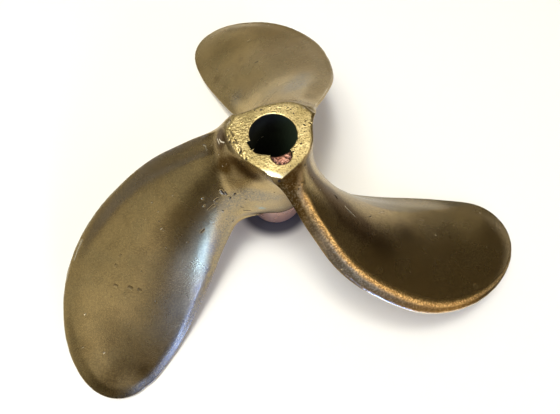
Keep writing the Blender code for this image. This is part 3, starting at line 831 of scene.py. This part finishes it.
def feed(node, **inputs):
    """Gives each named or numbered input of a shader node a value, or the output that feeds it."""
    for name, value in inputs.items():
        socket = node.inputs[int(name[1:])] if name[1:].isdigit() else node.inputs[name.replace("_", " ")]
        if isinstance(value, bpy.types.NodeSocket):
            node.id_data.links.new(value, socket)
        else:
            socket.default_value = (*value, 1) if isinstance(value, tuple) else value


def put(tree, kind, settings=(), **inputs):
    """Adds a shader node with its settings and what its inputs take."""
    node = tree.nodes.new("ShaderNode" + kind)
    for name, value in dict(settings).items():
        setattr(node, name, value)
    feed(node, **inputs)
    return node


def sum_up(work, first, second, third=0.0):
    return put(first.id_data, "Math", {"operation": work}, s0=first, s1=second, s2=third).outputs[0]


def times(first, second):
    return sum_up("MULTIPLY", first, second)


def larger(first, second):
    return sum_up("MAXIMUM", first, second)


def scaled(value, scale, more):
    return sum_up("MULTIPLY_ADD", value, scale, more)


def stretch(value, low, high, bottom=0.0, top=1.0):
    """Turns the span from low to high into the span from bottom to top, and keeps it there."""
    return put(value.id_data, "MapRange", {"interpolation_type": "SMOOTHSTEP"},
               s0=value, s1=low, s2=high, s3=bottom, s4=top).outputs[0]


def tint(share, first, second):
    """One colour turning into another as the share goes from 0 to 1."""
    return put(share.id_data, "Mix", {"data_type": "RGBA"}, s0=share, s6=first, s7=second).outputs[2]


def coats(colour, *more):
    """A colour with others laid over it, each by its own share."""
    for share, coat in more:
        colour = tint(share, colour, coat)
    return colour


def mark(tree, name):
    return put(tree, "Attribute", {"attribute_name": name}).outputs["Fac"]


def new_socket(group, label, side):
    kind = "NodeSocketColor" if label in ("Colour", "Bright") else "NodeSocketFloat"
    return group.interface.new_socket(label, in_out=side, socket_type=kind)


def new_group(name, inputs, *outputs):
    """A shader node group with its inputs, which have values, and its outputs."""
    group = bpy.data.node_groups.new(name, "ShaderNodeTree")
    for label, value in inputs.items():
        new_socket(group, label, "INPUT").default_value = value
    for label in outputs:
        new_socket(group, label, "OUTPUT")
    return group, group.nodes.new("NodeGroupInput").outputs, group.nodes.new("NodeGroupOutput")


def new_material(name):
    """A material with its node tree and its shader."""
    material = bpy.data.materials.new(name)
    material.use_nodes = True
    return material, material.node_tree, material.node_tree.nodes["Principled BSDF"]


# The grain that the sand of the mould leaves on any cast metal.
cast_grain, given, result = new_group(
    "cast_grain", {"Coarse": 0.0}, "Mottle", "Cloud", "Speck", "Pinhole", "Height")
where = put(cast_grain, "TexCoord").outputs["Object"]


def grain_noise(scale, detail, roughness, distortion=0.0):
    return put(cast_grain, "TexNoise", Vector=where, Scale=scale, Detail=detail, Roughness=roughness,
               Distortion=distortion).outputs[0]


speck, grit = grain_noise(1150, 2, 0.5), grain_noise(1050, 3, 0.65)
holes = put(cast_grain, "TexVoronoi", Vector=where, Scale=330).outputs
rare = stretch(put(cast_grain, "SeparateColor", s0=holes["Color"]).outputs[0], 0.62, 0.9)
pinhole = times(stretch(holes["Distance"], 0.16, 0.30, 1.0, 0.0), rare)
bold = times(times(grit, given["Coarse"]), 1.9)
pitted = times(pinhole, scaled(given["Coarse"], -0.5, -0.15))
height = sum_up("ADD", sum_up("ADD", times(speck, 0.50), bold), pitted)
feed(result, Mottle=grain_noise(42, 5, 0.6), Cloud=grain_noise(130, 4, 0.6, 0.3), Speck=speck,
     Pinhole=pinhole, Height=height)

# Rubbed edges, bare metal and dirt over a metal's own colour. In a few places the bare metal is a
# painted highlight and the dirt is painted shade.
rub_glint_dirt_and_shade, given, result = new_group(
    "rub_glint_dirt_and_shade",
    {"Colour": (0.4, 0.3, 0.2, 1), "Bright": (0.8, 0.7, 0.5, 1), "Rub": 0.0, "Dirt": 0.0,
     "Roughness": 0.3, "Speck": 0.5},
    "Colour", "Roughness", "Metallic")
broken = scaled(given["Speck"], 0.9, sum_up("SUBTRACT", given["Rub"], 0.45))
rub_and_glint = times(stretch(broken, 0.25, 0.7), stretch(given["Rub"], 0.0, 0.25))
dirt_and_shade_share = stretch(given["Dirt"], 0.15, 0.75, 0.0, 0.93)
smoother = scaled(rub_and_glint, -0.08, given["Roughness"])
feed(result, Colour=coats(given["Colour"], (rub_and_glint, given["Bright"]), (dirt_and_shade_share, (0.022, 0.016, 0.010))),
     Roughness=scaled(dirt_and_shade_share, 0.4, smoother), Metallic=scaled(dirt_and_shade_share, -0.8, 1.0))

bronze, tree, bronze_shader = new_material("weathered_bronze")
filed, boss_mark, bore_mark, fresh, golden_band, shade, coarse = (
    mark(tree, name) for name in ("filed", "boss", "bore", "fresh", "golden", "shade", "coarse"))
rough_skin = larger(times(filed, 0.8), stretch(coarse, 0.0, 0.9))
grainy = larger(rough_skin, times(golden_band, 0.8))
grain = put(tree, "Group", {"node_tree": cast_grain}, Coarse=grainy).outputs
golden = larger(stretch(coarse, 0.0, 1.0), golden_band)
# Painted shade where the shade mark is below 0. Above 0, and on the grey mark, the skin is greyed as a
# painted dull reflection.
painted_shade = stretch(shade, 0.0, -1.0)
greyed = larger(stretch(shade, 0.0, 1.0), mark(tree, "grey"))
dark_grit = times(stretch(grain["Speck"], 0.50, 0.60), stretch(coarse, 0.1, 0.9, 0.0, 0.55))
specks = times(stretch(grain["Speck"], 0.44, 0.60, 0.0, 0.42), stretch(shade, -1.0, -0.1, 0.12, 1.0))
# Painted glints: bright and dark grains along the right blade's ridge, where its highlight falls.
painted_ridge_glint = times(golden_band, stretch(shade, -0.42, -0.08, 0.15, 1.0))
skin_colour = coats(
    tint(stretch(grain["Mottle"], 0.36, 0.64), (0.43, 0.315, 0.145), (0.36, 0.275, 0.135)),
    (stretch(grain["Cloud"], 0.48, 0.75, 0.0, 0.45), (0.25, 0.175, 0.08)),
    (golden, (0.53, 0.37, 0.16)),
    (painted_shade, (0.074, 0.038, 0.006)),
    (greyed, (0.255, 0.22, 0.16)),
    (dark_grit, (0.08, 0.045, 0.015)),
    (specks, tint(golden, (0.56, 0.42, 0.19), (0.76, 0.54, 0.20))),
    (times(painted_ridge_glint, stretch(grain["Speck"], 0.50, 0.42, 0.0, 0.6)), (0.26, 0.14, 0.04)),
    (times(painted_ridge_glint, stretch(grain["Speck"], 0.52, 0.60, 0.0, 0.65)), (0.95, 0.72, 0.34)))
cut = times(fresh, stretch(grain["Cloud"], 0.42, 0.60, 0.25, 1.0))
# The face takes painted shade where the shade patches lie on it.
face_colour = coats(
    tint(stretch(grain["Cloud"], 0.35, 0.65), (0.78, 0.63, 0.30), (0.58, 0.45, 0.19)),
    (painted_shade, (0.44, 0.35, 0.15)),
    (stretch(grain["Speck"], 0.50, 0.64, 0.0, 0.75), (0.26, 0.18, 0.06)),
    (cut, (0.98, 0.93, 0.68)))
boss_colour = tint(stretch(grain["Mottle"], 0.4, 0.6), (0.96, 0.60, 0.42), (0.86, 0.49, 0.33))
# The bore is painted dark, as shade in the deep hole, and lighter and greener towards its right side, as
# painted light.
from_left = put(tree, "SeparateXYZ", s0=put(tree, "TexCoord").outputs["Object"]).outputs["X"]
bore_colour = coats(
    tint(stretch(grain["Mottle"], 0.4, 0.6), (0.035, 0.040, 0.024), (0.016, 0.014, 0.010)),
    (stretch(from_left, -0.002, 0.010), (0.055, 0.085, 0.050)))
colour = coats(
    skin_colour, (filed, face_colour), (boss_mark, boss_colour),
    (stretch(mark(tree, "verdigris"), 0.0, 0.9), (0.30, 0.40, 0.38)), (bore_mark, bore_colour))
in_pinholes = times(grain["Pinhole"], scaled(rough_skin, 0.7, 0.12))
roughness = scaled(grain["Mottle"], 0.10, 0.22)
rougher_places = (
    (rough_skin, 0.10), (stretch(coarse, 0.0, 0.9), 0.18), (cut, -0.08), (golden_band, 0.06),
    (bore_mark, 0.4))
for share, more in rougher_places:
    roughness = scaled(share, more, roughness)
worn = put(tree, "Group", {"node_tree": rub_glint_dirt_and_shade}, Colour=colour, Bright=(0.80, 0.72, 0.55),
           Rub=larger(mark(tree, "edge"), mark(tree, "bare_and_glint")),
           Dirt=larger(mark(tree, "dirt"), in_pinholes), Roughness=roughness,
           Speck=grain["Cloud"]).outputs
relief = put(tree, "Bump", Strength=0.5, Distance=0.00022, Height=grain["Height"]).outputs[0]
dull = scaled(boss_mark, -0.5, scaled(bore_mark, -0.6, 1.0))
feed(bronze_shader, Base_Color=worn["Colour"], Roughness=worn["Roughness"], Normal=relief,
     Metallic=times(worn["Metallic"], dull))
casting_mesh.materials.append(bronze)
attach(casting, "root")
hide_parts("propeller_casting")

# Copper pin
# What is left of a soft copper pin that locked the shaft: the half in the hub. It was sheared and
# hammered down, so its end is lumpy, with dark holes along its rim.
PIN_TOP, PIN_BOTTOM = 80.6, HUB_LENGTH - PIN_LENGTH
PIN_TRIM = 0.5
PIN_HEIGHTS = (PIN_BOTTOM, PIN_BOTTOM + 0.4, 72.0, 76.0, 78.5, 79.6, 80.1)
LUMPY_FROM, HOLE_DEPTH = 79.0, 0.8
PIN_RINGS = (1.0, 0.985, 0.95, 0.90, 0.84, 0.77, 0.70, 0.62, 0.54, 0.46, 0.38, 0.30, 0.22, 0.14, 0.06)
PIN_HOLES = ((275.6, 162.2, 0.55), (279.6, 164.0, 0.75), (284.2, 163.2, 0.4), (290.0, 158.2, 0.5),
             (292.0, 154.2, 0.6), (272.6, 159.4, 0.5), (286.2, 157.6, 0.4))
PIN_LUMPS = (
    (274.4, 158.4, 0.8, 0.45), (283.6, 157.4, 1.0, 0.45),
    (287.6, 154.8, 0.8, 0.35), (279.4, 160.6, 0.8, 0.2))


def pin_outline(height):
    """The pin's section at a height: a round bar, less what the shaft bore takes."""
    bore = BORE_RADIUS + PIN_TRIM - (HUB_LENGTH - height) * BORE_TAPER / 2
    span = math.acos((PIN_CENTRE**2 + bore**2 - PIN_RADIUS**2) / (2 * PIN_CENTRE * bore))
    arc = math.atan2(bore * math.sin(span), bore * math.cos(span) - PIN_CENTRE)
    turn = np.linspace(-arc, arc, 81)
    bar = np.stack((PIN_CENTRE + PIN_RADIUS * np.cos(turn), PIN_RADIUS * np.sin(turn)), -1)
    back = np.linspace(span, -span, 51)[1:-1]
    cut = np.stack((bore * np.cos(back), bore * np.sin(back)), -1)
    flat_x, flat_y = np.concatenate((bar, cut)).T
    cosine, sine = math.cos(PIN_ANGLE), math.sin(PIN_ANGLE)
    return np.column_stack((flat_x * cosine - flat_y * sine, flat_x * sine + flat_y * cosine,
                            np.full(len(flat_x), height)))


top_outline = pin_outline(PIN_TOP)
pin_middle = top_outline.mean(axis=0) + 0.7 * np.array((math.cos(PIN_ANGLE), math.sin(PIN_ANGLE), 0.0))
loops = [pin_outline(height) for height in PIN_HEIGHTS]
loops[0] = mix(loops[0].mean(axis=0), loops[0], 0.95)
loops += [mix(pin_middle, top_outline, scale) for scale in PIN_RINGS]
pin_points = np.concatenate(loops + [loops[0].mean(axis=0)[None], pin_middle[None]])
count = len(top_outline)
pin_faces = []
for ring in range(len(loops) - 1):
    for k in range(count):
        a, b = ring * count + k, ring * count + (k + 1) % count
        pin_faces.append((a, b, b + count, a + count))
last = (len(loops) - 1) * count
pin_faces += [((k + 1) % count, k, len(pin_points) - 2) for k in range(count)]
pin_faces += [(last + k, last + (k + 1) % count, len(pin_points) - 1) for k in range(count)]


def pin_spot(across, down):
    """The place at the pin's top that shows at a place in the picture."""
    ray = sight_line(across, down)
    reach = (PIN_TOP * MM - CAMERA_PLACE.z) / ray.z
    return (CAMERA_PLACE + ray * reach) / MM


holes_seen = [(pin_spot(across, down), wide) for across, down, wide in PIN_HOLES]
lumps_seen = [(pin_spot(across, down), wide, high) for across, down, wide, high in PIN_LUMPS]
pin_grime = []
for point, clear in zip(pin_points, distance_to(pin_points, top_outline)):
    place = Vector(point)
    at_top = ramp(point[2], LUMPY_FROM, 1.4)
    near_rim = min(1.0, float(clear) / 0.9)
    rise = 0.35 * noise.noise(place / 1.5) + 0.18 * noise.noise(place / 0.7) - 0.45 * (1 - near_rim) ** 2
    grime = 0.25 * (1 - near_rim)
    for middle, wide, high in lumps_seen:
        rise += high * hump((place.xy - middle.xy).length / wide)
    for middle, wide in holes_seen:
        hole = hump((place.xy - middle.xy).length / wide)
        rise -= HOLE_DEPTH * hole
        grime = max(grime, hole)
    point[2] += rise * at_top
    pin_grime.append(grime * at_top)
pin_mesh = bpy.data.meshes.new("copper_pin")
pin_mesh.from_pydata((pin_points * MM).tolist(), [], pin_faces)
pin_mesh.attributes.new("dirt", "FLOAT", "POINT").data.foreach_set("value", pin_grime)
pin_mesh.shade_smooth()
pin_mesh.set_sharp_from_angle(angle=math.radians(60))
pin = bpy.data.objects.new("copper_pin", pin_mesh)
scene.collection.objects.link(pin)
copper, tree, copper_shader = new_material("copper")
grain = put(tree, "Group", {"node_tree": cast_grain}, Coarse=0.5).outputs
colour = coats(
    tint(stretch(grain["Cloud"], 0.38, 0.62), (0.46, 0.24, 0.17), (0.33, 0.14, 0.09)),
    (stretch(grain["Speck"], 0.5, 0.7, 0.0, 0.5), (0.78, 0.50, 0.40)))
worn = put(tree, "Group", {"node_tree": rub_glint_dirt_and_shade}, Colour=colour, Bright=(0.85, 0.60, 0.50), Rub=0.0,
           Dirt=mark(tree, "dirt"), Roughness=0.42, Speck=grain["Speck"]).outputs
relief = put(tree, "Bump", Strength=0.6, Distance=0.0002, Height=grain["Height"]).outputs[0]
feed(copper_shader, Base_Color=worn["Colour"], Roughness=worn["Roughness"], Metallic=worn["Metallic"],
     Normal=relief)
pin_mesh.materials.append(copper)
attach(pin, "root")
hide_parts("locking_pin")

# Table and light
# A pale table with a painted shadow close round the boss, greyer far out as a painted fall-off of light,
# and faintly glowing between as painted light. Only the metal mirrors the broad light overhead, and the
# key and ceiling lights shine on everything but aren't mirrored. Cool windows stand low at the front
# right, a warm lamp higher and further right, and dim softboxes all round.
TABLE_REACH, TABLE_DROP = 3.0, 0.0003
floor_mesh = bpy.data.meshes.new("table_top")
corners = [(x * TABLE_REACH, y * TABLE_REACH, -TABLE_DROP) for x, y in ((-1, -1), (1, -1), (1, 1), (-1, 1))]
floor_mesh.from_pydata(corners, [], [(0, 1, 2, 3)])
floor = bpy.data.objects.new("table_top", floor_mesh)
scene.collection.objects.link(floor)
paper, tree, paper_shader = new_material("pale_table")
place = put(tree, "TexCoord").outputs["Object"]
from_middle = put(tree, "VectorMath", {"operation": "LENGTH"}, s0=place).outputs["Value"]
# Painted shadow: the table is dark close round the boss, and greyer far out as a painted fall-off of light.
table_colour = coats(
    tint(stretch(from_middle, 0.0215, 0.029), (0.10, 0.10, 0.12), (0.87, 0.865, 0.80)),
    (stretch(from_middle, 0.28, 0.8), (0.50, 0.50, 0.49)))
# Painted light: a faint glow of the table, rising out from close round the boss and fading far out.
glow = times(stretch(from_middle, 0.026, 0.040), stretch(from_middle, 0.24, 0.6, 1.0, 0.0))
feed(paper_shader, Base_Color=table_colour, Roughness=0.7, Specular_IOR_Level=0.1,
     Emission_Color=tint(glow, (0, 0, 0), (1.0, 0.98, 0.90)), Emission_Strength=0.08)
floor_mesh.materials.append(paper)
LIGHTS = (
    # turn and height in degrees, distance and size in metres, and brightness in red, green and blue
    ("overhead", 100, 86, 1.7, (1, 0.8), (8.6, 8.5, 8.25)),
    ("key", 174, 74, 1.7, (1.1, 1.1), (5.3, 5.2, 4.98)),
    ("ceiling", 136, 79, 1.7, (0.34, 0.34), (26, 25.7, 25)),
    ("over_back", 72, 50, 1.7, (1, 0.5), (0.55, 0.53, 0.5)),
    ("over_left", 135, 50, 1.7, (0.8, 0.6), (0.5, 0.5, 0.44)),
    ("far_left", 175, 50, 1.7, (0.7, 0.7), (0.45, 0.4, 0.3)),
    ("edge_light", 178, 27, 1.7, (0.5, 0.4), (0.2, 0.25, 0.45)),
    ("window_low", -67.5, 13, 1.6, (0.17, 0.38), (5.4, 10.4, 26)),
    ("window_sill", -62, 2, 1.6, (0.3, 0.16), (3.6, 4, 6.2)),
    ("window_middle", -55, 22, 1.6, (0.34, 0.22), (2.8, 4.1, 10.2)),
    ("window_high", -54, 34, 1.6, (0.4, 0.3), (0.8, 1.05, 2.2)),
    ("window_right", -44, 9, 1.6, (0.3, 0.5), (1, 1.2, 1.9)),
    ("window_side", -80, 28, 1.6, (0.45, 0.5), (0.52, 0.7, 1.45)),
    ("lamp", -20, 35, 1.6, (0.45, 0.5), (4.5, 3.55, 2.6)),
    ("lamp_low", -30, 12, 1.6, (0.5, 0.4), (0.7, 0.53, 0.5)),
    ("left_low", -150, 12, 1.7, (1, 0.5), (0.28, 0.28, 0.26)),
    ("left_middle", -150, 35, 1.7, (0.9, 0.6), (0.46, 0.46, 0.42)),
    ("left_high", -143, 58, 1.7, (0.8, 0.6), (0.46, 0.45, 0.4)),
    ("left_front", -122, 45, 1.7, (0.6, 0.5), (0.5, 0.48, 0.44)),
    ("front", -102, 46, 1.7, (0.6, 0.6), (0.34, 0.34, 0.36)),
    ("back", 92, 12, 1.7, (1.6, 0.9), (0.36, 0.35, 0.34)),
    ("back_left", 138, 16, 1.7, (1.4, 0.9), (0.42, 0.42, 0.39)),
    ("right_back", 50, 14, 1.7, (0.5, 0.6), (0.3, 0.3, 0.28)),
)
for name, turn, height, distance, size, colour in LIGHTS:
    turn, height = math.radians(turn), math.radians(height)
    out = Vector((math.cos(height) * math.cos(turn), math.cos(height) * math.sin(turn), math.sin(height)))
    softbox = bpy.data.lights.new(name, "AREA")
    softbox.shape = "RECTANGLE"
    softbox.size, softbox.size_y = size
    softbox.energy = max(colour) * size[0] * size[1] * math.pi
    softbox.color = [part / max(colour) for part in colour]
    light = bpy.data.objects.new(name, softbox)
    light.location = Vector((0.0, 0.0, 0.05)) + out * distance
    light.rotation_euler = (-out).to_track_quat("-Z", "Y").to_euler()
    light.visible_diffuse = name != "overhead"
    light.visible_glossy = name not in ("key", "ceiling")
    scene.collection.objects.link(light)
world = bpy.data.worlds.new("studio")
world.use_nodes = True
world.node_tree.nodes["Background"].inputs["Color"].default_value = (0.104, 0.083, 0.046, 1)
scene.world = world
scene.view_settings.view_transform = "Standard"
